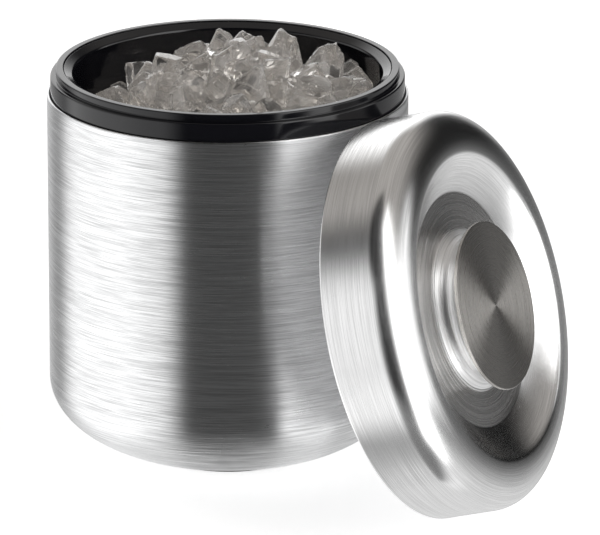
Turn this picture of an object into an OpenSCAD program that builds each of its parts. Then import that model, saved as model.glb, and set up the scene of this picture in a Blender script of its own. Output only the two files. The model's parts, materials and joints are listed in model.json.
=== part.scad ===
// Insulated ice bucket: a spun aluminium shell with a plastic collar and a lift-out ice container,
// and a spun lid with a disc knob that stands on its edge and leans against the bucket.
// +Z is up. The origin is the middle of the base pad's underside, on the table.

/* [Shell] */
// Outer radius of the straight side
shell_r = 80; // [70:0.5:95]
// Height of the shell's top lip above the table
shell_h = 167; // [140:0.5:200]
// Thickness of the spun sheet
shell_wall = 1.1; // [0.8:0.1:2]
// Width of the rounded base corner, from the flat base to the straight side
corner_w = 54; // [46:0.5:56]
// Height of the rounded base corner
corner_h = 33.5; // [30:0.5:45]

/* [Base pad] */
// Height of the pad under the shell
pad_h = 2.8; // [2:0.1:5]
// Radius of the pad
pad_r = 34; // [30:0.5:42]

/* [Collar] */
// Height of the collar above the shell's lip
collar_rise = 11.5; // [9:0.5:18]
// Height of the narrower lip at the top of the collar
lip_h = 3.4; // [2.5:0.1:5]
// Width of the flat land on top of the collar
land_w = 2.9; // [2:0.1:4]
// Depth of the collar's skirt inside the shell
skirt_h = 12; // [9:0.5:18]

/* [Ice container] */
// Thickness of the container's wall
container_wall = 1.8; // [1.5:0.1:3]
// Height of the container's floor above the table
floor_z = 15; // [12:0.5:19]
// How much the container narrows towards its floor, on the radius
taper = 4; // [2:0.5:8]

/* [Lid] */
// Outer radius of the lid
lid_r = 88.2; // [85:0.1:100]
// Thickness of the lid's sheet
lid_wall = 1; // [0.8:0.1:1.5]
// Height of the lid's straight side band
band_h = 24; // [22:0.5:28]
// Radius of the flat floor of the dish
flat_r = 51.9; // [46:0.1:56]
// Height of the dish's floor above the lid's edge
flat_h = 27.4; // [25:0.1:29]

/* [Knob] */
// Radius of the knob's disc
knob_r = 37; // [30:0.1:42]
// Thickness of the knob's disc
knob_t = 1.4; // [1:0.1:3]
// Height of the disc's face above the dish's floor
knob_rise = 12.5; // [10:0.1:20]
// Radius of the neck's foot
neck_foot_r = 35.2; // [28:0.1:40]
// Radius of the neck's waist
neck_waist_r = 31.4; // [24:0.1:36]

/* [Resting lid] */
// Angle of the lid's axis above the table
lid_rise = 16.5; // [10:0.1:25]
// Heading of the lid's axis round the bucket, from +X
lid_heading = -23.8; // [-60:0.1:0]
// Place of the lid's edge circle along X
lid_x = 82.2; // [70:0.1:120]
// Place of the lid's edge circle along Y
lid_y = -71.6; // [-90:0.1:-40]

/* [Hidden] */
$fn = 96;

// Clearances: between pieces that move apart, round the foam, and between pieces of one assembly
loose = 0.4;
foam_gap = 0.8;
snug = 0.1;

// Shell
shell_in = shell_r - shell_wall;
flat_base = shell_r - corner_w;
corner_z = pad_h + corner_h;

// Collar, measured from the shell's bore inwards and from the rim downwards
rim_z = shell_h + collar_rise;
collar_r = shell_in - 0.45;
lip_r = collar_r - 2.4;
land_in = lip_r - land_w - 0.4;
shoulder_z = rim_z - lip_h;
ledge_z = rim_z - 3;
ledge_in = land_in - 2.5;
skirt_z = shell_h - skirt_h;
skirt_wall = 2;
seal_z = shell_h - 6;
seal_h = 2;
seal_in = collar_r - 1.2;

// Container
flange_r = land_in - loose;
mouth_r = flange_r - 4;
mouth_z = rim_z - 2.6;
container_r = ledge_in - loose;
container_fillet = 14;
container_base_z = floor_z - container_wall;

// Lid: the side band turns into the rim by a tight arc and then a wide one, up to the dish's lip
edge_bead = 1;
tight_r = 10;
wide_r = 22;
turn_a = 50;
crest_end = 98;
tight_c = [lid_r - tight_r, band_h];
wide_c = tight_c + (tight_r - wide_r) * [cos(turn_a), sin(turn_a)];
rim_end = wide_c + wide_r * [cos(crest_end), sin(crest_end)];
// Bowl of the dish: an arc between the rim's inner end and the dish's floor
bowl_chord = rim_end - [flat_r, flat_h];
bowl_slope = atan2(bowl_chord[1], bowl_chord[0]);
bowl_half = 14;
bowl_r = norm(bowl_chord) / (2 * sin(bowl_half));

// Underside of the lid
seat_h = 11;
liner_wall = 1.8;
liner_r = lid_r - lid_wall - snug;
plug_r = mouth_r - 1;
plug_h = 5;
gasket_h = 2;
gasket_z = plug_h + 2.4;
gasket_r = plug_r + 0.6;
gasket_in = plug_r - 1.1;
pocket_r = 9;

// Knob
knob_face = flat_h + knob_rise;
knob_back = knob_face - knob_t;
ring_h = 0.7;
neck_top_r = 33.4;
neck_wall = 1;
core_r = 10;
core_foot_r = 16;
core_foot_h = 2.2;
screw_r = 2.45;
thread_r = 2.5;
hole_r = 2.75;
screw_top = flat_h + 7.5;
head_r = 4.8;
head_h = 3;
washer_r = 7;
washer_h = 0.8;
socket_r = 1.75;
socket_depth = 1.8;

// Centre of the lid's edge circle, high enough for the edge to stand on the table
lid_z = (lid_r - edge_bead) * cos(lid_rise) - edge_bead * sin(lid_rise) + edge_bead;

// Points along an arc about c, from angle a to angle b in n steps
function arc(c, r, a, b, n) = [for (i = [0:n]) c + r * [cos(a + (b - a) * i / n), sin(a + (b - a) * i / n)]];

// Points along the quarter ellipse of the base corner, inset by t, from the flat base to the side
function corner(t, n) = [for (i = [0:n]) [flat_base + (corner_w - t) * sin(90 * i / n),
                                          corner_z - (corner_h - t) * cos(90 * i / n)]];

// Outline of the lid's skin from the band to the dish's floor, inset by t
function lid_skin(t) = concat(
    arc(tight_c, tight_r - t, 0, turn_a, 8),
    arc(wide_c, wide_r - t, turn_a + 4, crest_end, 12),
    arc([flat_r, flat_h] + bowl_r * [-sin(bowl_slope - bowl_half), cos(bowl_slope - bowl_half)],
        bowl_r + t, bowl_slope + bowl_half - 90 - 1.5, bowl_slope - bowl_half - 90, 10));

// Turns an outline of [radius, height] points about Z
module turned(points) {
    rotate_extrude() polygon(points);
}

// A flat ring from radius a to radius b, from height z up by h
module ring(a, b, z, h) {
    translate([0, 0, z]) difference() {
        cylinder(r = b, h = h);
        translate([0, 0, -1]) cylinder(r = a, h = h + 2);
    }
}

// Stands the lid on its edge, leaning towards the bucket
module leaning() {
    translate([lid_x, lid_y, lid_z]) rotate([0, 90 - lid_rise, lid_heading]) children();
}

module outer_shell() {
    color("silver") {
        turned(concat(
            [[0, pad_h]], corner(0, 20),
            arc([shell_r - shell_wall / 2, shell_h - shell_wall / 2], shell_wall / 2, 0, 180, 8),
            [for (i = [20:-1:0]) corner(shell_wall, 20)[i]], [[0, pad_h + shell_wall]]));
    }
}

// The pad's top is dished to the curve of the shell's base
module base_pad() {
    pad_top = [for (p = corner(0, 20)) if (p[0] < pad_r - 1) p];
    color("#202020") turned(concat([[0, 0], [pad_r - 0.8, 0], [pad_r, 0.8], [pad_r, pad_h]],
                                   [for (i = [len(pad_top) - 1:-1:0]) pad_top[i]], [[0, pad_h]]));
}

// Skirt inside the shell, wall above its lip, shoulder, narrower lip and the container's ledge
module rim_collar() {
    color("#101010") difference() {
        turned(concat(
            [[collar_r - skirt_wall, skirt_z], [collar_r, skirt_z]],
            arc([collar_r - 1, shoulder_z - 1.4], 1, 0, 70, 5),
            [[lip_r, shoulder_z]],
            arc([lip_r - 0.8, rim_z - 0.8], 0.8, 0, 90, 5),
            arc([land_in + 0.4, rim_z - 0.4], 0.4, 90, 180, 3),
            [[land_in, ledge_z], [ledge_in, ledge_z], [ledge_in, ledge_z - 2.2],
             [collar_r - skirt_wall, ledge_z - 6.5]]));
        ring(seal_in, collar_r + 1, seal_z, seal_h);
    }
}

module collar_seal() {
    color("#303030") ring(seal_in, shell_in, seal_z, seal_h);
}

// Foam tube that fills the gap beside the container, below the collar's skirt
module insulation_sleeve() {
    low = corner_z + 1;
    high = skirt_z - 0.5;
    color("ivory") turned([[container_r - taper + foam_gap, low], [shell_in - snug, low],
                           [shell_in - snug, high], [container_r + loose, high]]);
}

// Foam dish that fills the rounded base below the container
module insulation_base() {
    outside = corner(shell_wall + snug, 16);
    inside_r = container_r - taper + foam_gap;
    fillet = container_fillet + foam_gap;
    low = container_base_z - foam_gap;
    color("ivory") turned(concat(
        [[0, pad_h + shell_wall + snug]], outside,
        [[inside_r, corner_z]],
        arc([inside_r - fillet, low + fillet], fillet, 0, -90, 8),
        [[0, low]]));
}

// A tapered cup that hangs in the collar by its sloping flange
module inner_container() {
    out = container_r;
    low_out = out - taper;
    fillet = container_fillet;
    inner_fillet = fillet - container_wall;
    color("#181818") turned(concat(
        [[0, container_base_z]],
        arc([low_out - fillet, container_base_z + fillet], fillet, -90, 0, 8),
        [[out, ledge_z], [flange_r, ledge_z], [flange_r, rim_z - 0.8]],
        [[flange_r - 0.3, rim_z - 0.5]],
        arc([mouth_r + 0.5, mouth_z - 0.45], 0.5, 60, 180, 5),
        [[low_out - container_wall, floor_z + inner_fillet]],
        arc([low_out - container_wall - inner_fillet, floor_z + inner_fillet], inner_fillet, 0, -90, 8),
        [[0, floor_z]]));
}

// Spun skin with a rolled edge, a side band, a rounded rim and a dish with a flat floor
module lid_shell() {
    inside = lid_skin(lid_wall);
    color("silver") leaning() difference() {
        union() {
            turned(concat(
                [[lid_r - lid_wall, edge_bead], [lid_r, edge_bead]],
                lid_skin(0), [[0, flat_h], [0, flat_h - lid_wall]],
                [for (i = [len(inside) - 1:-1:0]) inside[i]]));
            translate([0, 0, edge_bead]) rotate_extrude()
                translate([lid_r - edge_bead, 0]) circle(r = edge_bead);
        }
        translate([0, 0, flat_h - 5]) cylinder(r = hole_r, h = 10);
    }
}

// Pan with a plug that drops into the container's mouth, and a pocket for the screw's head
module lid_liner() {
    inner_plug = plug_r - liner_wall;
    color("lightgray") leaning() difference() {
        turned([
            [0, seat_h], [pocket_r, seat_h], [pocket_r, plug_h], [plug_r - 1, plug_h],
            [plug_r, plug_h + 1], [plug_r, seat_h], [liner_r, seat_h], [liner_r, seat_h + liner_wall],
            [inner_plug, seat_h + liner_wall], [inner_plug, plug_h + liner_wall],
            [pocket_r + liner_wall, plug_h + liner_wall], [pocket_r + liner_wall, seat_h + liner_wall],
            [0, seat_h + liner_wall]]);
        translate([0, 0, seat_h - 2]) cylinder(r = hole_r, h = 6);
        ring(gasket_in, plug_r + 1, gasket_z, gasket_h);
    }
}

module lid_gasket() {
    color("#404040") leaning() ring(gasket_in, gasket_r, gasket_z, gasket_h);
}

// Foam between the liner and the skin
module lid_insulation() {
    inside = lid_skin(lid_wall + snug);
    hub = pocket_r + liner_wall + snug;
    step = plug_r - liner_wall - snug;
    under = seat_h + liner_wall + snug;
    color("ivory") leaning() turned(concat(
        [[hub, plug_h + liner_wall + snug], [step, plug_h + liner_wall + snug], [step, under],
         [lid_r - lid_wall - snug, under]],
        inside, [[hub, flat_h - lid_wall - snug]]));
}

module neck_seat_ring() {
    color("gainsboro") leaning() ring(neck_foot_r - 3, neck_foot_r + 0.8, flat_h, ring_h);
}

// Flared tube: a foot on the seat ring, a waist, and a mouth under the disc
module knob_neck() {
    low = flat_h + ring_h;
    span = knob_back - low;
    waist = 0.62;
    outside = [for (i = [0:14]) let (u = i / 14)
        [u < waist
            ? neck_waist_r + (neck_foot_r - neck_waist_r) * pow(1 - u / waist, 2.4)
            : neck_waist_r + (neck_top_r - neck_waist_r) * pow((u - waist) / (1 - waist), 2),
         low + span * u]];
    color("whitesmoke") leaning() turned(concat(
        outside, [for (i = [14:-1:0]) outside[i] - [neck_wall, 0]]));
}

// Thin disc with a fine chamfer on both edges of its rim
module knob_disc() {
    edge = 0.3;
    color("darkgray") leaning() turned([
        [0, knob_back], [knob_r - edge, knob_back], [knob_r, knob_back + edge],
        [knob_r, knob_face - edge], [knob_r - edge, knob_face], [0, knob_face]]);
}

// Slug inside the neck, bonded to the disc, with the threaded hole for the screw
module knob_core() {
    color("gray") leaning() difference() {
        union() {
            translate([0, 0, flat_h]) cylinder(r = core_foot_r, h = core_foot_h);
            translate([0, 0, flat_h]) cylinder(r = core_r, h = knob_back - flat_h);
        }
        translate([0, 0, flat_h - 1]) cylinder(r = thread_r, h = 10);
    }
}

// Tube that keeps the dish and the liner apart where the screw clamps them
module knob_spacer() {
    low = seat_h + liner_wall;
    color("gray") leaning() ring(hole_r + 0.5, washer_r, low, flat_h - lid_wall - low);
}

module knob_washer() {
    color("silver") leaning() ring(hole_r, washer_r, seat_h - washer_h, washer_h);
}

// Pan-head machine screw with a hexagonal socket
module knob_screw() {
    head_top = seat_h - washer_h;
    color("silver") leaning() difference() {
        union() {
            translate([0, 0, head_top - head_h]) cylinder(r = head_r, h = head_h);
            translate([0, 0, head_top]) cylinder(r = screw_r, h = screw_top - head_top);
        }
        translate([0, 0, head_top - head_h - 1]) cylinder(r = socket_r, h = socket_depth + 1, $fn = 6);
    }
}

// Push-in cap that closes the screw's pocket
module screw_cover() {
    color("lightgray") leaning() union() {
        translate([0, 0, plug_h]) cylinder(r = pocket_r - snug, h = 1.4);
        ring(washer_r + 0.4, pocket_r - snug, plug_h, 4.5);
    }
}

outer_shell();
base_pad();
rim_collar();
collar_seal();
insulation_sleeve();
insulation_base();
inner_container();
lid_shell();
lid_liner();
lid_gasket();
lid_insulation();
neck_seat_ring();
knob_neck();
knob_disc();
knob_core();
knob_spacer();
knob_washer();
knob_screw();
screw_cover();
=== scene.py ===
"""An insulated ice bucket with its lid leaning against it, in turned metal and moulded plastic.

Lengths in the classes are millimetres, as on a drawing, and become metres when a mesh is made.
The bucket's axis is +Z and the table is at z = 0. The lid has an axis of its own, read from its joint.
"""

import json
import logging
import math
from dataclasses import dataclass, field
from enum import Enum

import bmesh
import bpy
import numpy as np
from mathutils import Matrix, Vector

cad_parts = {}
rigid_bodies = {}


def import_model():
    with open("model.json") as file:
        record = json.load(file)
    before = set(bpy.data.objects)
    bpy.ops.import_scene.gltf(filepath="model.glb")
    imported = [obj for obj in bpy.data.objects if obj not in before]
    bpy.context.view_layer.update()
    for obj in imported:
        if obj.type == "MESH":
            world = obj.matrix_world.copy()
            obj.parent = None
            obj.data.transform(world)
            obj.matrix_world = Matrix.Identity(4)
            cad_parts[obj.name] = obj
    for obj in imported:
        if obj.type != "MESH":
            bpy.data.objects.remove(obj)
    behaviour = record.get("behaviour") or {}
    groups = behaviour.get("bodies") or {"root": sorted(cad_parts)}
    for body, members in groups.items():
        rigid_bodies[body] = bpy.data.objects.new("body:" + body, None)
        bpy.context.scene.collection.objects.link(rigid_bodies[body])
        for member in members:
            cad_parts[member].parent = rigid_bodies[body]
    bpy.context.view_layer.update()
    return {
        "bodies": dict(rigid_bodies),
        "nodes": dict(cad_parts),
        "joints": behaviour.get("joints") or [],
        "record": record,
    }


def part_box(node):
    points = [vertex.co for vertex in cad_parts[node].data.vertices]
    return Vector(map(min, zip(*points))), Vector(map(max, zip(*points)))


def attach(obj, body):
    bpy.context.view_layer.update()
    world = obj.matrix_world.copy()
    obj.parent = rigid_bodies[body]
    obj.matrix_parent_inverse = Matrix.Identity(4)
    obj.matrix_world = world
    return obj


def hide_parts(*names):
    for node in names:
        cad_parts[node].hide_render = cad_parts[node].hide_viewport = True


log = logging.getLogger("ice_bucket")

MM = 0.001


# ---------------------------------------------------------------------------------------------
# Outlines: (n, 2) arrays of radius and height in millimetres, anticlockwise round the material
# ---------------------------------------------------------------------------------------------


def arc(centre: tuple[float, float], radius: float, start: float, end: float, steps: int) -> np.ndarray:
    """Points along a circular arc: centre plus radius times (cos a, sin a), a from start to end.

    Args:
        centre: radius and height of the arc's centre.
        radius: the arc's radius.
        start: first angle in degrees, 0 pointing away from the axis.
        end: last angle in degrees.
        steps: number of chords.

    Returns:
        Array of steps + 1 points.
    """
    return ellipse(centre, (radius, radius), start, end, steps)


def ellipse(centre: tuple[float, float], half: tuple[float, float], start: float, end: float,
            steps: int) -> np.ndarray:
    """Points along an ellipse: centre plus (half width times cos a, half height times sin a).

    Args:
        centre: radius and height of the ellipse's centre.
        half: half width and half height.
        start: first angle in degrees.
        end: last angle in degrees.
        steps: number of chords.

    Returns:
        Array of steps + 1 points.
    """
    a = np.radians(np.linspace(start, end, steps + 1))
    return np.stack([centre[0] + half[0] * np.cos(a), centre[1] + half[1] * np.sin(a)], 1)


def rounded(corners: list[tuple[float, float, float]], steps: int = 6) -> np.ndarray:
    """An outline through corners, each one rounded by an arc that touches both of its edges.

    The arc is a quadratic curve blended from the two touching points, (1-t)^2 a + 2t(1-t) c + t^2 b,
    which is within a hundredth of its radius of a circle for the small roundings used here.

    Args:
        corners: radius, height and rounding distance of each corner, in order.
        steps: chords in each rounded corner.

    Returns:
        Array of points; a corner of rounding 0 stays one point.
    """
    points = np.array(corners, float)
    place, cut = points[:, :2], points[:, 2]
    before = np.roll(place, 1, 0) - place
    after = np.roll(place, -1, 0) - place
    before /= np.maximum(np.linalg.norm(before, axis=1, keepdims=True), 1e-9)
    after /= np.maximum(np.linalg.norm(after, axis=1, keepdims=True), 1e-9)
    t = np.linspace(0, 1, steps + 1)[:, None]
    pieces = []
    for c, d, a, b in zip(place, cut, before, after):
        if d > 0:
            pieces.append((1 - t) ** 2 * (c + a * d) + 2 * t * (1 - t) * c + t ** 2 * (c + b * d))
        else:
            pieces.append(c[None])
    return np.vstack(pieces)


def supported(points: np.ndarray, closed: bool, longest: float = 4.0, near: float = 0.25) -> np.ndarray:
    """Splits long straight stretches, with an extra point near each end, so shading stays flat on them.

    Args:
        points: the outline.
        closed: True where the last point joins the first.
        longest: longest stretch left, in mm.
        near: distance of the extra points from the ends, in mm.

    Returns:
        The outline with the added points.
    """
    ends = np.roll(points, -1, 0) if closed else points[1:]
    out = []
    for a, b in zip(points, ends):
        length = float(np.linalg.norm(b - a))
        if length > 4 * near:
            count = max(2, math.ceil(length / longest) + 1)
            t = np.concatenate([[0], np.linspace(near / length, 1 - near / length, count)])
        else:
            t = np.zeros(1)
        out.append(a + (b - a) * t[:, None])
    if not closed:
        out.append(points[-1:])
    return np.vstack(out)


# ---------------------------------------------------------------------------------------------
# Turned surfaces
# ---------------------------------------------------------------------------------------------


@dataclass(frozen=True)
class Placing:
    """Where a turned piece stands: its axis's foot in metres, and the turn that stands +Z on its axis."""

    foot: Vector = field(default_factory=lambda: Vector((0.0, 0.0, 0.0)))
    turn: Matrix = field(default_factory=lambda: Matrix.Identity(3))

    def matrix(self) -> Matrix:
        """The 4 by 4 matrix from the piece's own frame to the row's frame."""
        return Matrix.Translation(self.foot) @ self.turn.to_4x4()


@dataclass(frozen=True)
class Turned:
    """A solid of revolution about its own +Z, made from one closed outline or one that ends on the axis."""

    name: str
    outline: np.ndarray
    segments: int = 256
    closed: bool = True
    inner_r: float = 0.0  # faces inside this radius take the second finish; 0 for none

    def mesh(self, placing: Placing) -> bpy.types.Mesh:
        """Turns the outline: a point is (r cos v, r sin v, z), with r and z from the outline and v round it.

        Two maps go on the mesh: a UV map named lay, whose U runs along the outline and V round the
        axis, and a point attribute named turn, which holds (cos v, sin v, distance along the outline).

        Args:
            placing: where the piece stands.

        Returns:
            The mesh, with every seam and pole closed.
        """
        outline = supported(self.outline, self.closed)
        poles = [] if self.closed else [i for i in (0, len(outline) - 1) if outline[i, 0] < 1e-6]
        along = np.concatenate([[0], np.cumsum(np.linalg.norm(np.diff(outline, axis=0), axis=1))])
        rings = np.array([i for i in range(len(outline)) if i not in poles])
        angle = np.arange(self.segments) * (2 * math.pi / self.segments)
        r, z, s = outline[rings, 0], outline[rings, 1], along[rings]
        cosine, sine = np.cos(angle), np.sin(angle)
        verts = np.stack([np.outer(r, cosine), np.outer(r, sine),
                          np.repeat(z[:, None], self.segments, 1)], -1).reshape(-1, 3)
        turn = np.stack([np.broadcast_to(cosine, (len(rings), self.segments)),
                         np.broadcast_to(sine, (len(rings), self.segments)),
                         np.repeat(s[:, None], self.segments, 1)], -1).reshape(-1, 3)
        for p in poles:
            verts = np.vstack([verts, [0, 0, outline[p, 1]]])
            turn = np.vstack([turn, [0, 0, along[p]]])
        faces, lay = self._faces(rings, poles, s, along)
        matrix = np.array(placing.matrix())
        verts = (verts * MM) @ matrix[:3, :3].T + matrix[:3, 3]
        turn[:, 2] *= MM
        mesh = bpy.data.meshes.new(self.name)
        mesh.from_pydata(verts.tolist(), [], faces)
        mesh.uv_layers.new(name="lay").data.foreach_set("uv", lay.astype(np.float32).ravel())
        attribute = mesh.attributes.new("turn", "FLOAT_VECTOR", "POINT")
        attribute.data.foreach_set("vector", turn.astype(np.float32).ravel())
        mesh.polygons.foreach_set("use_smooth", np.ones(len(faces), bool))
        if self.inner_r:
            inside = np.repeat(np.maximum(r, np.roll(r, -1)) < self.inner_r + 1e-3, self.segments)
            mesh.polygons.foreach_set("material_index", inside.astype(np.int32)[:len(faces)])
        mesh.update()
        return mesh

    def _faces(self, rings: np.ndarray, poles: list[int], s: np.ndarray,
               along: np.ndarray) -> tuple[list[list[int]], np.ndarray]:
        """Quads between rings and triangles at the poles, facing outwards, with their UVs.

        Args:
            rings: outline places that are rings of points.
            poles: outline places on the axis.
            s: distance along the outline of each ring.
            along: distance along the outline of every place.

        Returns:
            The faces and one (u, v) row for each face corner.
        """
        n, m = len(rings), self.segments
        low = np.arange(n if self.closed else n - 1)
        high = (low + 1) % n
        j = np.arange(m)
        k = (j + 1) % m
        grid = np.stack([low[:, None] * m + j, low[:, None] * m + k,
                         high[:, None] * m + k, high[:, None] * m + j], -1).reshape(-1, 4)
        top = np.where(high == 0, s[-1] + 1.0, s[high])
        v0, v1 = j / m, (j + 1) / m
        u = np.stack([np.repeat(s[low], m), np.repeat(s[low], m), np.repeat(top, m), np.repeat(top, m)], -1)
        v = np.stack([np.tile(v0, len(low)), np.tile(v1, len(low)),
                      np.tile(v1, len(low)), np.tile(v0, len(low))], -1)
        lay = [np.stack([u * MM, v], -1).reshape(-1, 2)]
        faces = grid.tolist()
        for number, p in enumerate(poles):
            tip = n * m + number
            first = p == 0
            ring = 0 if first else n - 1
            a, b = (ring * m + k, ring * m + j) if first else (ring * m + j, ring * m + k)
            faces += np.stack([np.full(m, tip), a, b], -1).tolist()
            va, vb = (v1, v0) if first else (v0, v1)
            fan = np.stack([np.stack([np.full(m, along[p] * MM), (v0 + v1) / 2], -1),
                            np.stack([np.full(m, s[ring] * MM), va], -1),
                            np.stack([np.full(m, s[ring] * MM), vb], -1)], 1)
            lay.append(fan.reshape(-1, 2))
        return faces, np.vstack(lay)


# ---------------------------------------------------------------------------------------------
# Finishes
# ---------------------------------------------------------------------------------------------


class Finish(Enum):
    """The finishes on this bucket, each built once."""

    SHELL = "brushed_shell"
    LID = "brushed_lid"
    FLOOR = "turned_floor"
    DISC = "turned_disc"
    NECK = "polished_neck"
    GLOSS_BLACK = "moulded_gloss_black"
    SATIN_GREY = "moulded_satin_grey"
    RUBBER = "soft_rubber"
    FOAM = "rigid_foam"
    PLATED = "plated_steel"
    MACHINED = "machined_aluminium"
    ICE = "clear_ice"


class Nodes:
    """Adds nodes to one tree and links them, so that a material reads as a short list of steps."""

    def __init__(self, tree: bpy.types.NodeTree) -> None:
        """Starts on an emptied tree."""
        self.tree = tree
        tree.nodes.clear()

    def add(self, kind: str, settings: dict | None = None, inputs: dict | None = None) -> bpy.types.Node:
        """Adds one node.

        Args:
            kind: the node's type name.
            settings: attribute values, such as {"operation": "MULTIPLY"}.
            inputs: socket name or number to a value, or to another node's output socket.

        Returns:
            The new node.
        """
        node = self.tree.nodes.new(kind)
        for name, value in (settings or {}).items():
            setattr(node, name, value)
        for key, value in (inputs or {}).items():
            if isinstance(value, bpy.types.NodeSocket):
                self.tree.links.new(value, node.inputs[key])
            else:
                node.inputs[key].default_value = value
        return node

    def math(self, operation: str, a: object, b: object = 0.0, clamp: bool = False) -> bpy.types.NodeSocket:
        """One Math node on a and b, each a number or a socket; returns its value."""
        node = self.add("ShaderNodeMath", {"operation": operation, "use_clamp": clamp}, {0: a, 1: b})
        return node.outputs[0]

    def step(self, value: object, low: float, high: float, out_low: float = 0.0,
             out_high: float = 1.0) -> bpy.types.NodeSocket:
        """A smooth step from out_low at low to out_high at high; returns its value."""
        node = self.add("ShaderNodeMapRange", {"interpolation_type": "SMOOTHSTEP"},
                        {"Value": value, "From Min": low, "From Max": high,
                         "To Min": out_low, "To Max": out_high})
        return node.outputs["Result"]


class Effects:
    """Shader node groups that several finishes share."""

    def __init__(self) -> None:
        """Builds every group once."""
        self.brushing = self._brushing()
        self.handling = self._handling()
        self.moulding = self._moulding()

    @staticmethod
    def _group(name: str, inputs: dict[str, object], outputs: list[str]) -> tuple[bpy.types.NodeTree, Nodes]:
        """A new group with its sockets.

        Args:
            name: the group's name.
            inputs: socket name to default, a tuple for a vector and a number for a float.
            outputs: names of float outputs.

        Returns:
            The group and a node adder for it.
        """
        tree = bpy.data.node_groups.new(name, "ShaderNodeTree")
        for label, default in inputs.items():
            kind = "NodeSocketVector" if isinstance(default, tuple) else "NodeSocketFloat"
            socket = tree.interface.new_socket(label, in_out="INPUT", socket_type=kind)
            if not isinstance(default, tuple):
                socket.default_value = default
        for label in outputs:
            tree.interface.new_socket(label, in_out="OUTPUT", socket_type="NodeSocketFloat")
        return tree, Nodes(tree)

    def _brushing(self) -> bpy.types.NodeTree:
        """Scratches round the axis: noise stretched along (cos v, sin v) and tight along the outline."""
        tree, n = self._group("brushing", {"Turn": (0, 0, 0), "Around": 4.0, "Across": 3000.0},
                              ["Height", "Streaks"])
        given = n.add("NodeGroupInput").outputs
        xyz = n.add("ShaderNodeSeparateXYZ", inputs={0: given["Turn"]}).outputs
        x = n.math("MULTIPLY", xyz["X"], given["Around"])
        y = n.math("MULTIPLY", xyz["Y"], given["Around"])
        z = n.math("MULTIPLY", xyz["Z"], given["Across"])
        place = n.add("ShaderNodeCombineXYZ", inputs={"X": x, "Y": y, "Z": z}).outputs[0]
        fine = n.add("ShaderNodeTexNoise", {"noise_dimensions": "3D"},
                     {"Vector": place, "Scale": 1.0, "Detail": 3.0, "Roughness": 0.65}).outputs[0]
        wide = n.add("ShaderNodeCombineXYZ", inputs={
            "X": n.math("MULTIPLY", x, 0.4), "Y": n.math("MULTIPLY", y, 0.4),
            "Z": n.math("MULTIPLY", z, 0.3)}).outputs[0]
        broad = n.add("ShaderNodeTexNoise", {"noise_dimensions": "3D"},
                      {"Vector": wide, "Scale": 1.0, "Detail": 2.0, "Roughness": 0.5}).outputs[0]
        height = n.math("ADD", n.math("MULTIPLY", fine, 0.97), n.math("MULTIPLY", broad, 0.03))
        streaks = n.step(n.math("ADD", n.math("MULTIPLY", fine, 0.82), n.math("MULTIPLY", broad, 0.18)),
                         0.40, 0.60)
        n.add("NodeGroupOutput", inputs={"Height": height, "Streaks": streaks})
        return tree

    def _handling(self) -> bpy.types.NodeTree:
        """Soft cloudy marks left by hands and cloths: two sizes of noise on the object's own place."""
        tree, n = self._group("handling", {"Place": (0, 0, 0), "Amount": 1.0}, ["Haze"])
        given = n.add("NodeGroupInput").outputs
        cloud = n.add("ShaderNodeTexNoise", inputs={"Vector": given["Place"], "Scale": 26.0, "Detail": 4.0,
                                                    "Roughness": 0.6, "Distortion": 0.6}).outputs[0]
        patch = n.add("ShaderNodeTexNoise", inputs={"Vector": given["Place"], "Scale": 9.0,
                                                    "Detail": 2.0}).outputs[0]
        haze = n.math("MULTIPLY", n.step(cloud, 0.42, 0.72), n.step(patch, 0.38, 0.62))
        n.add("NodeGroupOutput", inputs={"Haze": n.math("MULTIPLY", haze, given["Amount"])})
        return tree

    def _moulding(self) -> bpy.types.NodeTree:
        """The faint orange-peel of moulded plastic, with a few dust specks."""
        tree, n = self._group("moulding", {"Place": (0, 0, 0)}, ["Height", "Specks"])
        given = n.add("NodeGroupInput").outputs
        peel = n.add("ShaderNodeTexNoise", inputs={"Vector": given["Place"], "Scale": 260.0,
                                                   "Detail": 2.0}).outputs[0]
        dots = n.add("ShaderNodeTexVoronoi", {"feature": "F1"},
                     {"Vector": given["Place"], "Scale": 420.0}).outputs["Distance"]
        chance = n.add("ShaderNodeTexNoise", inputs={"Vector": given["Place"], "Scale": 60.0}).outputs[0]
        specks = n.math("MULTIPLY", n.step(dots, 0.12, 0.05), n.step(chance, 0.62, 0.7))
        n.add("NodeGroupOutput", inputs={"Height": peel, "Specks": specks})
        return tree


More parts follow.
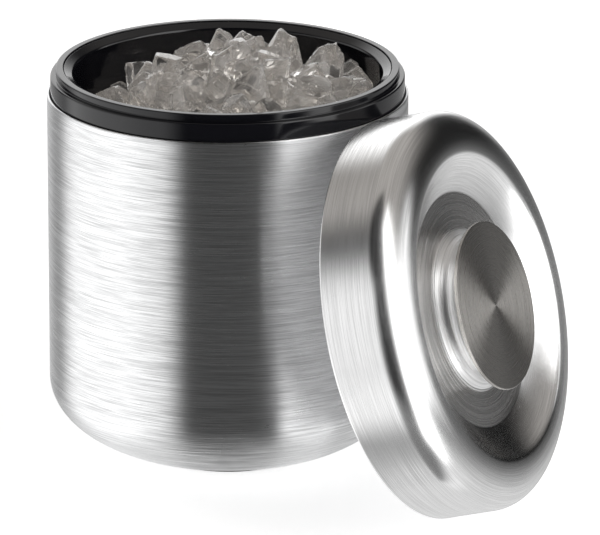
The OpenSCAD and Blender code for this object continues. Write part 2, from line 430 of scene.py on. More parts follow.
@dataclass(frozen=True)
class BrushedMetal:
    """A metal with scratches round its axis, read from the piece's turn attribute."""

    color: tuple[float, float, float]
    roughness: float
    anisotropy: float
    around: float
    across: float
    contrast: float
    depth: float
    haze: float = 0.05

    def build(self, name: str, effects: Effects) -> bpy.types.Material:
        """Makes the material.

        Args:
            name: the material's name.
            effects: the shared node groups.

        Returns:
            The material.
        """
        material, n, shader = new_material(name, self.color, self.roughness)
        shader.inputs["Metallic"].default_value = 1.0
        shader.inputs["Anisotropic"].default_value = self.anisotropy
        turn = n.add("ShaderNodeAttribute", {"attribute_name": "turn"}).outputs["Vector"]
        place = n.add("ShaderNodeTexCoord").outputs["Object"]
        lines = n.add("ShaderNodeGroup", {"node_tree": effects.brushing},
                      {"Turn": turn, "Around": self.around, "Across": self.across}).outputs
        marks = n.add("ShaderNodeGroup", {"node_tree": effects.handling},
                      {"Place": place, "Amount": 1.0}).outputs
        dark = tuple(c * (1 - self.contrast) for c in self.color)
        tone = n.add("ShaderNodeMix", {"data_type": "RGBA"},
                     {"Factor": lines["Streaks"], "A": (*dark, 1.0), "B": (*self.color, 1.0)})
        rough = n.math("ADD", n.math("MULTIPLY", lines["Streaks"], -0.3 * self.roughness),
                       n.math("ADD", n.math("MULTIPLY", marks["Haze"], self.haze), 1.15 * self.roughness))
        bump = n.add("ShaderNodeBump", inputs={"Height": lines["Height"], "Strength": 1.0,
                                               "Distance": self.depth * MM}).outputs[0]
        tangent = n.add("ShaderNodeTangent", {"direction_type": "UV_MAP", "uv_map": "lay"}).outputs[0]
        for socket, value in (("Base Color", tone.outputs["Result"]), ("Roughness", rough),
                              ("Normal", bump), ("Tangent", tangent)):
            n.tree.links.new(value, shader.inputs[socket])
        return material


@dataclass(frozen=True)
class Moulded:
    """A smooth or moulded surface, with orange-peel and specks of dust."""

    color: tuple[float, float, float]
    roughness: float
    depth: float
    dust: float = 0.3
    metallic: float = 0.0

    def build(self, name: str, effects: Effects) -> bpy.types.Material:
        """Makes the material.

        Args:
            name: the material's name.
            effects: the shared node groups.

        Returns:
            The material.
        """
        material, n, shader = new_material(name, self.color, self.roughness)
        shader.inputs["Metallic"].default_value = self.metallic
        place = n.add("ShaderNodeTexCoord").outputs["Object"]
        skin = n.add("ShaderNodeGroup", {"node_tree": effects.moulding}, {"Place": place}).outputs
        marks = n.add("ShaderNodeGroup", {"node_tree": effects.handling},
                      {"Place": place, "Amount": 1.0}).outputs
        pale = tuple(min(1.0, c + 0.25) for c in self.color)
        tone = n.add("ShaderNodeMix", {"data_type": "RGBA"},
                     {"Factor": n.math("MULTIPLY", skin["Specks"], self.dust),
                      "A": (*self.color, 1.0), "B": (*pale, 1.0)})
        rough = n.math("ADD", n.math("MULTIPLY", marks["Haze"], 0.08), self.roughness)
        bump = n.add("ShaderNodeBump", inputs={"Height": skin["Height"], "Strength": 1.0,
                                               "Distance": self.depth * MM}).outputs[0]
        for socket, value in (("Base Color", tone.outputs["Result"]), ("Roughness", rough), ("Normal", bump)):
            n.tree.links.new(value, shader.inputs[socket])
        return material


@dataclass(frozen=True)
class Ice:
    """Ice that is clear in places and clouded in others.

    The glow stands for the light that a deep heap of ice scatters back, which too few bounces reach.
    """

    color: tuple[float, float, float]
    roughness: float
    glow: float

    def build(self, name: str, effects: Effects) -> bpy.types.Material:
        """Makes the material.

        Args:
            name: the material's name.
            effects: the shared node groups.

        Returns:
            The material.
        """
        material, n, shader = new_material(name, self.color, self.roughness)
        shader.inputs["IOR"].default_value = 1.31
        shader.inputs["Emission Color"].default_value = (1.0, 0.95, 0.9, 1.0)
        shader.inputs["Emission Strength"].default_value = self.glow
        place = n.add("ShaderNodeTexCoord").outputs["Object"]
        cloud = n.add("ShaderNodeTexNoise", inputs={"Vector": place, "Scale": 90.0, "Detail": 4.0}).outputs[0]
        skin = n.add("ShaderNodeGroup", {"node_tree": effects.moulding}, {"Place": place}).outputs
        bump = n.add("ShaderNodeBump", inputs={"Height": skin["Height"], "Distance": 0.05 * MM}).outputs[0]
        n.tree.links.new(n.step(cloud, 0.42, 0.68, 1.0, 0.78), shader.inputs["Transmission Weight"])
        n.tree.links.new(bump, shader.inputs["Normal"])
        return material


def new_material(name: str, color: tuple[float, float, float],
                 roughness: float) -> tuple[bpy.types.Material, Nodes, bpy.types.Node]:
    """A material with one Principled shader.

    Args:
        name: the material's name.
        color: base colour, linear.
        roughness: surface roughness.

    Returns:
        The material, its node adder and its shader node.
    """
    material = bpy.data.materials.new(name)
    material.use_nodes = True
    n = Nodes(material.node_tree)
    shader = n.add("ShaderNodeBsdfPrincipled")
    shader.inputs["Base Color"].default_value = (*color, 1.0)
    shader.inputs["Roughness"].default_value = roughness
    n.add("ShaderNodeOutputMaterial", inputs={"Surface": shader.outputs[0]})
    return material, n, shader


class Finishes:
    """Every finish, made once and handed out by name."""

    RECIPES = {
        Finish.SHELL: BrushedMetal((0.93, 0.935, 0.94), 0.32, 0.98, 3.5, 3600.0, 0.30, 0.0008),
        Finish.LID: BrushedMetal((0.93, 0.93, 0.93), 0.21, 0.88, 2.0, 3200.0, 0.16, 0.001),
        Finish.DISC: BrushedMetal((0.54, 0.52, 0.495), 0.28, 0.98, 1.2, 2600.0, 0.2, 0.001, haze=0.0),
        Finish.FLOOR: BrushedMetal((0.86, 0.85, 0.84), 0.27, 0.92, 0.6, 2000.0, 0.45, 0.003, haze=0.02),
        Finish.NECK: BrushedMetal((0.97, 0.97, 0.97), 0.4, 0.5, 1.0, 1500.0, 0.16, 0.002, haze=0.02),
        Finish.GLOSS_BLACK: Moulded((0.006, 0.006, 0.008), 0.09, 0.0015),
        Finish.SATIN_GREY: Moulded((0.6, 0.6, 0.61), 0.42, 0.006),
        Finish.RUBBER: Moulded((0.02, 0.02, 0.02), 0.75, 0.02, dust=0.5),
        Finish.FOAM: Moulded((0.86, 0.83, 0.74), 0.9, 0.05, dust=0.0),
        Finish.PLATED: Moulded((0.6, 0.6, 0.6), 0.3, 0.002, dust=0.0, metallic=1.0),
        Finish.MACHINED: Moulded((0.7, 0.7, 0.7), 0.35, 0.002, dust=0.0, metallic=1.0),
        Finish.ICE: Ice((0.96, 0.945, 0.925), 0.0, 0.017),
    }

    def __init__(self) -> None:
        """Builds the shared groups and then each finish."""
        effects = Effects()
        self._made = {key: recipe.build(key.value, effects) for key, recipe in self.RECIPES.items()}

    def __getitem__(self, key: Finish) -> bpy.types.Material:
        """The material of one finish."""
        return self._made[key]


# ---------------------------------------------------------------------------------------------
# Sub-assemblies
# ---------------------------------------------------------------------------------------------


class Assembly:
    """What the sub-assemblies share: making a turned piece and dressing a CAD node."""

    body: str
    placing: Placing

    def __init__(self, frame: dict, finishes: Finishes) -> None:
        """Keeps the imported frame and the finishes."""
        self.frame = frame
        self.finishes = finishes

    def turned(self, piece: Turned, finish: tuple[Finish, ...], node: str, slot: str) -> bpy.types.Object:
        """Makes one turned piece that stands for a CAD node.

        Args:
            piece: its outline and name.
            finish: its finish, and after it the finish inside its inner radius, if it has one.
            node: the CAD node that it replaces.
            slot: the record's material slot; not used.

        Returns:
            The new object.
        """
        obj = bpy.data.objects.new(piece.name, piece.mesh(self.placing))
        bpy.context.scene.collection.objects.link(obj)
        for one in finish:
            obj.data.materials.append(self.finishes[one])
        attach(obj, self.body)
        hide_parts(node)
        log.info("%s: %d faces, rides on %s", piece.name, len(obj.data.polygons), self.body)
        return obj

    def dressed(self, node: str, finish: Finish) -> None:
        """Gives a CAD node that keeps its own shape its finish.

        Args:
            node: the node's name.
            finish: its finish.
        """
        obj = self.frame["nodes"][node]
        obj.data.materials.clear()
        obj.data.materials.append(self.finishes[finish])
        log.info("%s: CAD shape kept", node)


@dataclass
class BucketSizes:
    """Sizes of the bucket's body that the frame's boxes don't give."""

    wall: float = 1.1
    corner_w: float = 54.0
    corner_h: float = 33.5
    lip_step: float = 2.4
    lip_h: float = 3.4
    land_w: float = 2.9
    land_round: float = 0.4
    ledge_drop: float = 3.0
    ledge_w: float = 2.5
    skirt_wall: float = 2.0
    pad_round: float = 0.8


class Bucket(Assembly):
    """The insulated body: shell, pad, collar, seal and foam."""

    body = "bucket"
    placing = Placing()

    def __init__(self, frame: dict, finishes: Finishes) -> None:
        """Reads the driving sizes from the frame."""
        super().__init__(frame, finishes)
        self.size = BucketSizes()
        shell_low, shell_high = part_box("outer_shell")
        self.shell_r = shell_high.x / MM
        self.shell_foot = shell_low.z / MM
        self.shell_h = shell_high.z / MM
        self.pad_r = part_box("base_pad")[1].x / MM
        self.rim_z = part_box("rim_collar")[1].z / MM
        self.collar_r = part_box("rim_collar")[1].x / MM
        self.skirt_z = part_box("rim_collar")[0].z / MM

    def corner(self, inset: float) -> np.ndarray:
        """The base corner, a quarter ellipse from the flat base to the side, inset by the wall."""
        s = self.size
        return ellipse((self.shell_r - s.corner_w, self.shell_foot + s.corner_h),
                       (s.corner_w - inset, s.corner_h - inset), -90, 0, 48)

    def build(self) -> None:
        """Makes and dresses every piece of the body."""
        self.shell()
        self.pad()
        self.collar()
        self.dressed("collar_seal", Finish.RUBBER)
        self.dressed("insulation_sleeve", Finish.FOAM)
        self.dressed("insulation_base", Finish.FOAM)

    def shell(self) -> None:
        """Spun cup: flat base, elliptical corner, straight side, rolled lip, and the same way back inside."""
        s = self.size
        half = s.wall / 2
        lip = arc((self.shell_r - half, self.shell_h - half), half, 0, 180, 12)
        outline = np.vstack([[[0, self.shell_foot]], self.corner(0), lip, self.corner(s.wall)[::-1],
                             [[0, self.shell_foot + s.wall]]])
        self.turned(Turned("shell_skin", outline, 384, closed=False), (Finish.SHELL,), "outer_shell",
                    "brushed_aluminium")

    def pad(self) -> None:
        """Non-slip pad with three fine grooves in its underside, under the curve of the base."""
        top = self.corner(0)
        top = top[top[:, 0] < self.pad_r - 1]
        grooves = []
        for r in (14.0, 20.0, 26.0):
            grooves += [(r - 0.6, 0, 0.15), (r - 0.3, 0.4, 0.15), (r + 0.3, 0.4, 0.15), (r + 0.6, 0, 0.15)]
        low = rounded([(5.0, 0, 0), *grooves, (self.pad_r, 0, self.size.pad_round),
                       (self.pad_r, self.shell_foot, 0)])
        outline = np.vstack([[[0, 0]], low, top[::-1], [[0, self.shell_foot]]])
        self.turned(Turned("base_foot", outline, 192, closed=False), (Finish.RUBBER,), "base_pad", "rubber")

    def collar(self) -> None:
        """Moulded collar: skirt, wall, eased shoulder, lip with a flat land, and the container's ledge."""
        s = self.size
        lip_r = self.collar_r - s.lip_step
        land_in = lip_r - s.land_w - s.land_round
        ledge_z = self.rim_z - s.ledge_drop
        shoulder_z = self.rim_z - s.lip_h
        inner = self.collar_r - s.skirt_wall
        outline = rounded([
            (inner, self.skirt_z, 0.4), (self.collar_r, self.skirt_z, 0.4),
            (self.collar_r, shoulder_z - 0.1, 0.75), (lip_r, shoulder_z, 0.3),
            (lip_r, self.rim_z, 0.7), (land_in, self.rim_z, s.land_round),
            (land_in, ledge_z, 0.15), (land_in - s.ledge_w, ledge_z, 0.3),
            (land_in - s.ledge_w, ledge_z - 2.2, 0.4), (inner, ledge_z - 6.5, 1.0)])
        self.turned(Turned("collar_ring", outline, 384), (Finish.GLOSS_BLACK,), "rim_collar",
                    "black_gloss_plastic")


@dataclass
class ContainerSizes:
    """Sizes of the ice container that the frame's boxes don't give."""

    wall: float = 1.8
    taper: float = 4.0
    fillet: float = 14.0
    flange_w: float = 4.0
    edge_drop: float = 0.5
    mouth_drop: float = 2.6
    ledge_drop: float = 3.0
    ledge_step: float = 2.5


class Container(Assembly):
    """The lift-out ice container, which hangs by its sloping flange."""

    body = "container"
    placing = Placing()

    def build(self) -> None:
        """Tapered cup with a rounded floor, and a flange that slopes down to its mouth."""
        s = ContainerSizes()
        low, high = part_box("inner_container")
        flange_r, floor_low = high.x / MM, low.z / MM
        rim_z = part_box("rim_collar")[1].z / MM
        ledge_z = rim_z - s.ledge_drop
        out = flange_r - s.ledge_step
        mouth_r = flange_r - s.flange_w
        low_out = out - s.taper
        inner = s.fillet - s.wall
        low_in = low_out - s.wall
        outline = np.vstack([
            [[0, floor_low]],
            arc((low_out - s.fillet, floor_low + s.fillet), s.fillet, -90, 0, 16),
            rounded([(out, ledge_z, 0), (flange_r, ledge_z, 0.2), (flange_r, rim_z - s.edge_drop, 0.25),
                     (mouth_r + 0.35, rim_z - s.mouth_drop + 0.05, 0.45),
                     (mouth_r - 0.05, rim_z - s.mouth_drop - 0.9, 0.3)]),
            arc((low_in - inner, floor_low + s.wall + inner), inner, 0, -90, 16),
            [[0, floor_low + s.wall]]])
        self.turned(Turned("ice_container", outline, 256, closed=False), (Finish.GLOSS_BLACK,),
                    "inner_container", "black_gloss_plastic")


@dataclass
class LidSizes:
    """Sizes of the lid, measured up its own axis from its open edge."""

    radius: float = 88.2
    wall: float = 1.0
    bead: float = 1.0
    band_h: float = 24.0
    tight_r: float = 10.0
    wide_r: float = 22.0
    turn: float = 50.0
    crest_end: float = 98.0
    flat_r: float = 51.9
    flat_h: float = 27.4
    bowl_half: float = 9.0
    lip_ease: int = 3
    seat_h: float = 11.0
    liner_wall: float = 1.8
    plug_r: float = 67.35
    plug_h: float = 5.0
    pocket_r: float = 9.0
    gasket_z: float = 7.4
    gasket_h: float = 2.0
    gasket_in: float = 66.25
    gasket_r: float = 67.95


@dataclass
class KnobSizes:
    """Sizes of the knob, measured up the lid's axis from the lid's open edge."""

    disc_r: float = 37.0
    disc_t: float = 1.4
    face: float = 39.9
    ring_in: float = 32.2
    ring_r: float = 36.0
    ring_h: float = 0.7
    foot_r: float = 35.2
    waist_r: float = 31.4
    top_r: float = 33.4
    neck_wall: float = 1.0
    waist: float = 0.62
    grooves: tuple[tuple[float, float], ...] = ((0.18, 0.22), (0.38, 0.16), (0.7, 0.16))


class Lid(Assembly):
    """The lid and its knob, standing on the lid's edge."""

    body = "lid"

    def __init__(self, frame: dict, finishes: Finishes) -> None:
        """Finds the lid's axis from its joint, and its foot from the disc's middle."""
        super().__init__(frame, finishes)
        self.size = LidSizes()
        self.knob = KnobSizes()
        joint = next(j for j in frame["joints"] if j["child"] == self.body)
        axis = Vector(joint["axis"]).normalized()
        rise, heading = math.asin(axis.z), math.atan2(axis.y, axis.x)
        turn = Matrix.Rotation(heading, 3, "Z") @ Matrix.Rotation(math.pi / 2 - rise, 3, "Y")
        low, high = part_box("knob_disc")
        middle = (self.knob.face - self.knob.disc_t / 2) * MM
        self.placing = Placing((low + high) / 2 - axis * middle, turn)

    def skin(self, inset: float) -> np.ndarray:
        """The lid's skin from its side band to the dish's floor: a tight arc, a wide arc and the bowl.

        The wide arc touches the tight one where they meet, so its centre lies on the line through the
        meeting point. The bowl is an arc from the wide arc's end to the flat floor, bulging downwards.

        Args:
            inset: distance in from the outer face.

        Returns:
            Points from the band inwards.
        """
        s = self.size
        tight = np.array([s.radius - s.tight_r, s.band_h])
        lean = math.radians(s.turn)
        wide = tight + (s.tight_r - s.wide_r) * np.array([math.cos(lean), math.sin(lean)])
        last = math.radians(s.crest_end)
        lip = wide + s.wide_r * np.array([math.cos(last), math.sin(last)])
        chord = lip - [s.flat_r, s.flat_h]
        slope = math.degrees(math.atan2(chord[1], chord[0]))
        bowl_r = float(np.linalg.norm(chord)) / (2 * math.sin(math.radians(s.bowl_half)))
        first = math.radians(slope - s.bowl_half)
        bowl = (s.flat_r - bowl_r * math.sin(first), s.flat_h + bowl_r * math.cos(first))
        rim = arc(tuple(wide), s.wide_r - inset, s.turn + 2, s.crest_end, 40)
        dish = arc(bowl, bowl_r + inset, slope + s.bowl_half - 90, slope - s.bowl_half - 90, 24)
        ease = np.linspace(0, 1, 9)[1:-1, None]
        cut = s.lip_ease
        hand, back = rim[-cut], dish[cut]
        blend = (1 - ease) ** 2 * hand + 2 * ease * (1 - ease) * (lip - [0, inset]) + ease ** 2 * back
        return np.vstack([arc(tuple(tight), s.tight_r - inset, 0, s.turn, 24), rim[:-cut], blend,
                          dish[cut:]])

    def build(self) -> None:
        """Makes and dresses every piece of the lid."""
        self.shell()
        self.liner()
        self.gasket()
        self.cover()
        self.dressed("lid_insulation", Finish.FOAM)
        self.dressed("knob_core", Finish.MACHINED)
        self.dressed("knob_spacer", Finish.MACHINED)
        self.dressed("knob_washer", Finish.PLATED)
        self.dressed("knob_screw", Finish.PLATED)
        self.seat_ring()
        self.neck()
        self.disc()

    def shell(self) -> None:
        """Spun skin: rolled edge, side band, rounded rim, dish and floor, and the same way back inside."""
        s = self.size
        edge = arc((s.radius - s.bead, s.bead), s.bead, 150, 360, 20)
        outline = np.vstack([edge, self.skin(0), [[2.75, s.flat_h], [2.75, s.flat_h - s.wall]],
                             self.skin(s.wall)[::-1]])
        self.turned(Turned("lid_skin", outline, 320, inner_r=s.flat_r), (Finish.LID, Finish.FLOOR),
                    "lid_shell", "brushed_aluminium")

    def liner(self) -> None:
        """Moulded pan: seat, plug with a groove for the gasket, and a pocket for the screw."""
        s = self.size
        out = s.radius - s.wall - 0.1
        plug_in, pocket_out = s.plug_r - s.liner_wall, s.pocket_r + s.liner_wall
        top = s.seat_h + s.liner_wall
        outline = rounded([
            (2.75, s.seat_h, 0), (s.pocket_r, s.seat_h, 0.3), (s.pocket_r, s.plug_h, 0.2),
            (s.plug_r, s.plug_h, 1.0), (s.plug_r, s.gasket_z, 0.15), (s.gasket_in, s.gasket_z, 0.15),
            (s.gasket_in, s.gasket_z + s.gasket_h, 0.15), (s.plug_r, s.gasket_z + s.gasket_h, 0.15),
            (s.plug_r, s.seat_h, 0.3), (out, s.seat_h, 0.2), (out, top, 0.2), (plug_in, top, 0.3),
            (plug_in, s.plug_h + s.liner_wall, 0.3), (pocket_out, s.plug_h + s.liner_wall, 0.3),
            (pocket_out, top, 0.3), (2.75, top, 0)])
        self.turned(Turned("lid_pan", outline, 256), (Finish.SATIN_GREY,), "lid_liner",
                    "grey_matte_plastic")

    def gasket(self) -> None:
        """Soft ring with a rounded outer face."""
        s = self.size
        high = s.gasket_z + s.gasket_h
        outline = rounded([(s.gasket_in, s.gasket_z, 0.1), (s.gasket_r, s.gasket_z, 0.6),
                           (s.gasket_r, high, 0.6), (s.gasket_in, high, 0.1)])
        self.turned(Turned("plug_gasket", outline, 256), (Finish.RUBBER,), "lid_gasket", "rubber")

    def cover(self) -> None:
        """Push-in cap with an eased edge, a coin slot's worth of dish in the middle and a short skirt."""
        s = self.size
        out = s.pocket_r - 0.1
        outline = np.vstack([[[0, s.plug_h + 0.4]], rounded([
            (5.5, s.plug_h + 0.4, 0.3), (6.0, s.plug_h, 0.2), (out, s.plug_h, 0.35),
            (out, s.plug_h + 4.5, 0.2), (7.4, s.plug_h + 4.5, 0.2), (7.4, s.plug_h + 1.4, 0.2),
            (0, s.plug_h + 1.4, 0)])])
        self.turned(Turned("screw_cap", outline, 96, closed=False), (Finish.SATIN_GREY,), "screw_cover",
                    "grey_matte_plastic")

    def seat_ring(self) -> None:
        """Thin turned ring under the neck, with a rounded outer edge."""
        s, k = self.size, self.knob
        high = s.flat_h + k.ring_h
        outline = rounded([(k.ring_in, s.flat_h, 0.1), (k.ring_r, s.flat_h, 0.05), (k.ring_r, high, 0.35),
                           (k.ring_in, high, 0.1)])
        self.turned(Turned("neck_ring", outline, 256), (Finish.NECK,), "neck_seat_ring",
                    "polished_aluminium")

    def neck(self) -> None:
        """Flared tube: radius falls from the foot to the waist as a power curve, then opens to the top."""
        s, k = self.size, self.knob
        low, high = s.flat_h + k.ring_h, k.face - k.disc_t
        u = np.linspace(0, 1, 101)
        below = k.waist_r + (k.foot_r - k.waist_r) * np.clip(1 - u / k.waist, 0, 1) ** 2.4
        above = k.waist_r + (k.top_r - k.waist_r) * (np.clip(u - k.waist, 0, 1) / (1 - k.waist)) ** 2
        steps = sum(depth * (np.abs(u - at) < 0.02) for at, depth in k.grooves)
        outside = np.stack([np.where(u < k.waist, below, above) - steps, low + (high - low) * u], 1)
        outline = np.vstack([outside, outside[::-1] - [k.neck_wall, 0]])
        self.turned(Turned("neck_flare", outline, 256), (Finish.NECK,), "knob_neck", "polished_aluminium")

    def disc(self) -> None:
        """Flat disc with fine eased edges; its face has rings of points down to the middle."""
        k = self.knob
        back = k.face - k.disc_t
        face = np.stack([np.linspace(k.disc_r - 1, 0, 60), np.full(60, k.face)], 1)
        outline = np.vstack([[[0, back]], rounded([
            (k.disc_r - 2, back, 0), (k.disc_r, back, 0.35), (k.disc_r, k.face, 0.35),
            (k.disc_r - 0.8, k.face, 0)]), face])
        self.turned(Turned("disc_plate", outline, 320, closed=False), (Finish.DISC,), "knob_disc",
                    "brushed_steel")


# ---------------------------------------------------------------------------------------------
# Ice
# ---------------------------------------------------------------------------------------------


@dataclass(frozen=True)
class HeapSizes:
    """Sizes of the heap of ice, in millimetres."""

    peak: float = 188.5
    peak_x: float = 8.0
    fall_side: float = 0.0068
    fall_front: float = 0.0055
    fall_back: float = 0.016
    wall_r: float = 67.0
    wall_gap: float = 0.6
    smallest: float = 6.0
    largest: float = 10.0
    edge: float = 60.0


class IceHeap:
    """Broken ice in the container: dressing for the pictures, which rides on the container."""

    def __init__(self, finishes: Finishes) -> None:
        """Starts the random choices from a fixed seed."""
        self.size = HeapSizes()
        self.finishes = finishes
        self.rng = np.random.default_rng(11)
        low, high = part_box("inner_container")
        cup = ContainerSizes()
        self.floor_z, self.mouth_z = low.z / MM, high.z / MM
        self.mouth_r = high.x / MM - cup.flange_w
        self.floor_r = high.x / MM - cup.ledge_step - cup.taper - cup.wall

    def surface(self, x: float, y: float) -> float:
        """Height of the heap above a place: a bowl of two parabolas, steeper at the back."""
        s = self.size
        fall = s.fall_front if y < 0 else s.fall_back
        return s.peak - s.fall_side * (x - s.peak_x) ** 2 - fall * y * y

    def inside(self, points: np.ndarray) -> np.ndarray:
        """Draws points that would pass through the container's sloping wall back to its inner face."""
        up = (points[:, 2] - self.floor_z) / (self.mouth_z - self.floor_z)
        limit = self.floor_r + (self.mouth_r - self.floor_r) * np.clip(up, 0, 1) - self.size.wall_gap
        reach = np.hypot(points[:, 0], points[:, 1])
        scale = np.minimum(1, limit / np.maximum(reach, limit / 2))
        return points * np.stack([scale, scale, np.ones_like(scale)], 1)

    def chunk(self, ways: np.ndarray, half: float) -> np.ndarray:
        """One broken piece: flat faces at random, rounded where they meet.

        Along a direction d its radius is (sum of (max(d.n, 0) / h)^p)^(-1/p) over its faces, each with
        a normal n and a distance h, which tends to the sharp solid as p grows.

        Args:
            ways: directions of its points, one row each.
            half: its half size in mm.

        Returns:
            Points round the origin, in mm.
        """
        faces = self.rng.normal(size=(9, 3))
        faces /= np.linalg.norm(faces, axis=1, keepdims=True)
        faces = np.vstack([faces, np.eye(3), -np.eye(3)])
        reach = np.concatenate([self.rng.uniform(0.5, 1.0, 9), self.rng.uniform(0.75, 1.3, 6)])
        p = self.size.edge
        radius = (np.maximum(ways @ faces.T, 0) / reach) ** p
        points = ways * (radius.sum(1, keepdims=True) ** (-1 / p)) * half
        turn = np.array(Matrix.Rotation(self.rng.uniform(0, 6.28), 3, Vector(faces[0])))
        return points @ turn.T

    def layer(self, name: str, spacing: float, depth: float) -> None:
        """One layer of pieces that follows the heap's surface.

        Args:
            name: the object's name.
            spacing: least distance between the middles of two pieces, in mm.
            depth: how far their middles lie under the surface, in mm.
        """
        s = self.size
        ball = bmesh.new()
        bmesh.ops.create_icosphere(ball, subdivisions=4, radius=1.0)
        ways = np.array([v.co for v in ball.verts])
        sides = np.array([[v.index for v in f.verts] for f in ball.faces])
        ball.free()
        placed: list[tuple[float, float]] = []
        for x, y in self.rng.uniform(-s.wall_r, s.wall_r, (6000, 2)):
            clear = all((x - a) ** 2 + (y - b) ** 2 > spacing ** 2 for a, b in placed)
            if clear and math.hypot(x, y) < s.wall_r - s.smallest:
                placed.append((x, y))
        verts, faces = [], []
        for number, (x, y) in enumerate(placed):
            half = self.rng.uniform(s.smallest, s.largest)
            rise = self.rng.uniform(-2.5, 2.5) - depth
            middle = [x, y, self.surface(x, y) + rise]
            verts.append(self.inside(self.chunk(ways, half) + middle))
            faces.append(sides + number * len(ways))
        mesh = bpy.data.meshes.new(name)
        mesh.from_pydata((np.vstack(verts) * MM).tolist(), [], np.vstack(faces).tolist())
        mesh.polygons.foreach_set("use_smooth", np.ones(len(mesh.polygons), bool))
        mesh.materials.append(self.finishes[Finish.ICE])
        obj = bpy.data.objects.new(name, mesh)
        bpy.context.scene.collection.objects.link(obj)
        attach(obj, "container")
        log.info("%s: %d pieces of ice, ride on container", name, len(placed))

    def build(self) -> None:
        """Makes the top layer and the two under it that close the gaps."""
        self.layer("ice_top", 10.5, 5.0)
        self.layer("ice_middle", 11.5, 13.0)
        self.layer("ice_low", 12.5, 21.0)


# ---------------------------------------------------------------------------------------------
# Studio
# ---------------------------------------------------------------------------------------------


@dataclass(frozen=True)
class SoftBox:
    """A large soft light, far off, by the direction it shines from.

    Azimuth is in degrees from the camera's side of the bucket (0), with +90 at +X and -90 at -X.
    """

    azimuth: float
    elevation: float
    half_width: float
    half_height: float
    softness: float
    strength: float
    tint: tuple[float, float, float] = (1.0, 1.0, 1.0)


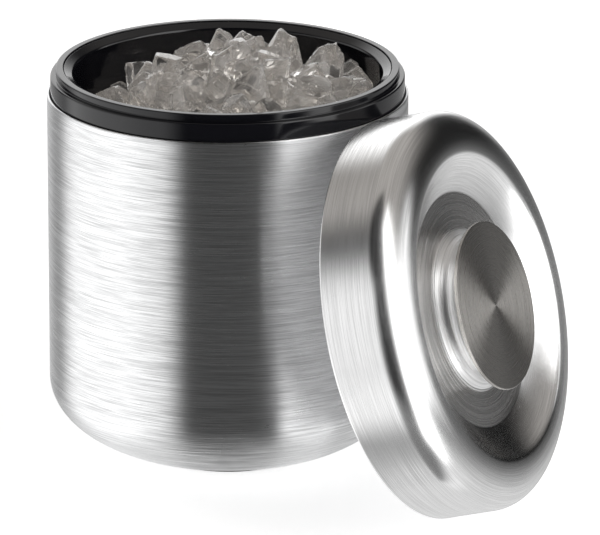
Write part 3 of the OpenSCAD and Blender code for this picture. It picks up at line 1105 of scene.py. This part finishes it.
@dataclass(frozen=True)
class Studio:
    """A pale table under large soft lights, and the camera."""

    camera_at: tuple[float, float, float] = (0.0320, -3.199, 1.1168)
    camera_tilt: float = 72.12
    lens: float = 452.4
    floor_radius: float = 30.0
    ambient: float = 0.01
    left_bank: SoftBox = SoftBox(-80, -10, 45, 40, 10, 1.0)
    right_strip: SoftBox = SoftBox(55, 15, 20, 50, 5, 2.2)
    side_card: SoftBox = SoftBox(90, 10, 20, 15, 5, 1.4)
    back_card: SoftBox = SoftBox(-170, 15, 25, 20, 10, 1.5)
    warm_ceiling: SoftBox = SoftBox(155, 65, 115, 30, 15, 0.4, (1.0, 0.95, 0.9))
    floor_behind: SoftBox = SoftBox(180, -60, 120, 45, 20, 0.75)
    floor_in_front: SoftBox = SoftBox(0, -60, 90, 35, 10, 0.2)

    def build(self) -> None:
        """Makes the camera, the table and the lights."""
        self.camera()
        self.table()
        self.world()

    def camera(self) -> None:
        """A long lens looking down at the bucket."""
        data = bpy.data.cameras.new("camera")
        data.lens = self.lens
        data.sensor_width = 36.0
        data.clip_start, data.clip_end = 0.05, 60.0
        camera = bpy.data.objects.new("camera", data)
        camera.location = self.camera_at
        camera.rotation_euler = (math.radians(self.camera_tilt), 0.0, 0.0)
        bpy.context.scene.collection.objects.link(camera)
        bpy.context.scene.camera = camera

    def table(self) -> None:
        """A wide flat disc, seen by the camera and by soft light, and left out of mirror reflections."""
        angle = np.linspace(0, 2 * math.pi, 97)[:-1]
        ring = np.stack([self.floor_radius * np.cos(angle), self.floor_radius * np.sin(angle),
                         np.zeros(96)], 1)
        mesh = bpy.data.meshes.new("table")
        mesh.from_pydata(ring.tolist(), [], [list(range(96))])
        table = bpy.data.objects.new("table", mesh)
        bpy.context.scene.collection.objects.link(table)
        table.visible_glossy = False
        material, n, shader = new_material("table_white", (0.9, 0.9, 0.9), 0.9)
        shader.inputs["Specular IOR Level"].default_value = 0.0
        shader.inputs["Emission Color"].default_value = (1.0, 1.0, 1.0, 1.0)
        shader.inputs["Emission Strength"].default_value = 0.7
        mesh.materials.append(material)

    def world(self) -> None:
        """Light by direction: a low ambient and each soft box as a smooth window in azimuth and elevation."""
        world = bpy.data.worlds.new("studio")
        bpy.context.scene.world = world
        world.use_nodes = True
        n = Nodes(world.node_tree)
        way = n.add("ShaderNodeSeparateXYZ", inputs={0: n.add("ShaderNodeTexCoord").outputs["Generated"]})
        x, y, z = way.outputs
        azimuth = n.math("MULTIPLY", n.math("ARCTAN2", x, n.math("MULTIPLY", y, -1.0)), 180 / math.pi)
        elevation = n.math("MULTIPLY", n.math("ARCSINE", z), 180 / math.pi)
        total = n.add("ShaderNodeCombineXYZ",
                      inputs={"X": self.ambient, "Y": self.ambient, "Z": self.ambient}).outputs[0]
        for box in (self.left_bank, self.right_strip, self.side_card, self.back_card, self.warm_ceiling,
                    self.floor_behind, self.floor_in_front):
            turned = n.math("SUBTRACT", azimuth, box.azimuth)
            wrapped = n.add("ShaderNodeMath", {"operation": "WRAP"}, {0: turned, 1: 180.0, 2: -180.0})
            away = n.math("ABSOLUTE", wrapped.outputs[0])
            across = n.step(away, box.half_width + box.softness, box.half_width - box.softness)
            over = n.math("ABSOLUTE", n.math("SUBTRACT", elevation, box.elevation))
            up = n.step(over, box.half_height + box.softness, box.half_height - box.softness)
            level = n.math("MULTIPLY", n.math("MULTIPLY", across, up), box.strength)
            window = n.add("ShaderNodeVectorMath", {"operation": "SCALE"}, {0: box.tint, "Scale": level})
            both = n.add("ShaderNodeVectorMath", {"operation": "ADD"}, {0: total, 1: window.outputs[0]})
            total = both.outputs[0]
        seen = n.add("ShaderNodeLightPath").outputs["Is Camera Ray"]
        light = n.add("ShaderNodeBackground", inputs={"Color": total, "Strength": 1.0}).outputs[0]
        paper = n.add("ShaderNodeBackground", inputs={"Color": (1, 1, 1, 1), "Strength": 1.0}).outputs[0]
        background = n.add("ShaderNodeMixShader", inputs={0: seen, 1: light, 2: paper}).outputs[0]
        n.add("ShaderNodeOutputWorld", inputs={"Surface": background})
        bpy.context.scene.view_settings.view_transform = "Standard"
        bpy.context.scene.view_settings.look = "None"


def main() -> None:
    """Builds the bucket, the container, the lid and the studio, in that order."""
    logging.basicConfig(level=logging.INFO, format="%(name)s: %(message)s")
    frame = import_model()
    finishes = Finishes()
    Bucket(frame, finishes).build()
    Container(frame, finishes).build()
    Lid(frame, finishes).build()
    IceHeap(finishes).build()
    Studio().build()


if __name__ == "__main__":
    main()
